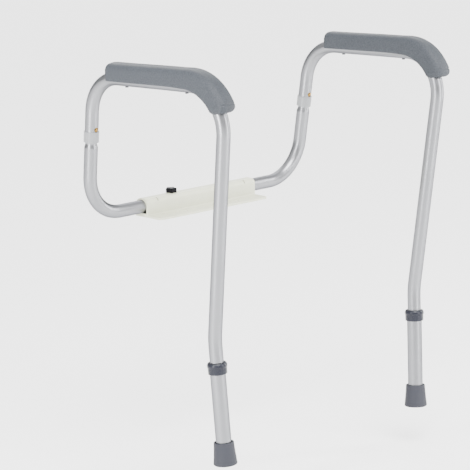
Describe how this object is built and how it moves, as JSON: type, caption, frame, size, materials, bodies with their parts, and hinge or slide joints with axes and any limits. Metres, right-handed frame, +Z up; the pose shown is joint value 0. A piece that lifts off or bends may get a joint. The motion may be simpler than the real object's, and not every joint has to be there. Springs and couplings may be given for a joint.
{
  "type": "toilet safety frame",
  "caption": "Pair of bent aluminium armrest rails with grey foam pads and telescoping rubber-tipped legs, on a moulded bracket bolted behind a toilet seat.",
  "frame": {"origin": "centre of the two seat bolt slots, on the bracket underside", "axes": "+Z up, -Y towards the front of the toilet, +X towards the right-hand rail seen from the front"},
  "size_m": [0.6298, 0.4008, 0.7238],
  "materials": {
    "tube": "satin anodised",
    "pad": "fine moulded foam skin",
    "bracket_plastic": "semi-matt moulded, cream",
    "pale_collar": "semi-matt translucent grey-white",
    "dark_collar": "semi-matt",
    "tip_rubber": "moulded rubber",
    "brass": "polished",
    "spring_steel": "plain",
    "screw_steel": "blackened",
    "knob_black": "moulded"
  },
  "bodies": {
    "bracket": {"mounting_bracket": "bracket_plastic", "left_knob_insert": "brass", "right_knob_insert": "brass"},
    "left_arm": {"left_rear_tube": "tube", "left_rear_collar": "pale_collar", "left_arm_tube": "tube", "left_armrest_pad": "pad", "left_pad_screws": "screw_steel"},
    "left_leg": {"left_leg_extension": "tube", "left_leg_collar": "dark_collar", "left_rubber_tip": "tip_rubber", "left_tip_washer": "spring_steel"},
    "left_rear_button": {"left_rear_button": "brass", "left_rear_leaf": "spring_steel"},
    "left_leg_button": {"left_leg_button": "spring_steel", "left_leg_leaf": "spring_steel"},
    "left_knob": {"left_width_knob": "knob_black", "left_knob_stud": "screw_steel"},
    "right_arm": {"right_rear_tube": "tube", "right_rear_collar": "pale_collar", "right_arm_tube": "tube", "right_armrest_pad": "pad", "right_pad_screws": "screw_steel"},
    "right_leg": {"right_leg_extension": "tube", "right_leg_collar": "dark_collar", "right_rubber_tip": "tip_rubber", "right_tip_washer": "spring_steel"},
    "right_rear_button": {"right_rear_button": "brass", "right_rear_leaf": "spring_steel"},
    "right_leg_button": {"right_leg_button": "spring_steel", "right_leg_leaf": "spring_steel"},
    "right_knob": {"right_width_knob": "knob_black", "right_knob_stud": "screw_steel"}
  },
  "joints": [
    {"name": "left_width_slide", "type": "slide", "parent": "bracket", "child": "left_arm", "axis": [-1, 0, 0], "range_m": [-0.025, 0.02]},
    {"name": "left_leg_length", "type": "slide", "parent": "left_arm", "child": "left_leg", "axis": [0.0409, -0.0751, -0.9963], "range_m": [-0.015, 0.075]},
    {"name": "left_rear_button_press", "type": "slide", "parent": "left_arm", "child": "left_rear_button", "axis": [-0.0043, 0.9945, 0.1048], "range_m": [0, 0.004], "stiffness_N_per_m": 800, "springref_m": -0.002},
    {"name": "left_leg_button_press", "type": "slide", "parent": "left_arm", "child": "left_leg_button", "axis": [-0.0031, -0.9972, 0.0751], "range_m": [0, 0.0036], "stiffness_N_per_m": 800, "springref_m": -0.002},
    {"name": "left_knob_turn", "type": "hinge", "parent": "bracket", "child": "left_knob", "pos_m": [-0.069, 0.0345, 0.038], "axis": [0, 0, 1], "range_deg": [0, 360]},
    {"name": "right_width_slide", "type": "slide", "parent": "bracket", "child": "right_arm", "axis": [1, 0, 0], "range_m": [-0.025, 0.02]},
    {"name": "right_leg_length", "type": "slide", "parent": "right_arm", "child": "right_leg", "axis": [-0.0409, -0.0751, -0.9963], "range_m": [-0.015, 0.075]},
    {"name": "right_rear_button_press", "type": "slide", "parent": "right_arm", "child": "right_rear_button", "axis": [0.0043, 0.9945, 0.1048], "range_m": [0, 0.004], "stiffness_N_per_m": 800, "springref_m": -0.002},
    {"name": "right_leg_button_press", "type": "slide", "parent": "right_arm", "child": "right_leg_button", "axis": [0.0031, -0.9972, 0.0751], "range_m": [0, 0.0036], "stiffness_N_per_m": 800, "springref_m": -0.002},
    {"name": "right_knob_turn", "type": "hinge", "parent": "bracket", "child": "right_knob", "pos_m": [0.069, 0.0345, 0.038], "axis": [0, 0, 1], "range_deg": [0, 360]}
  ]
}
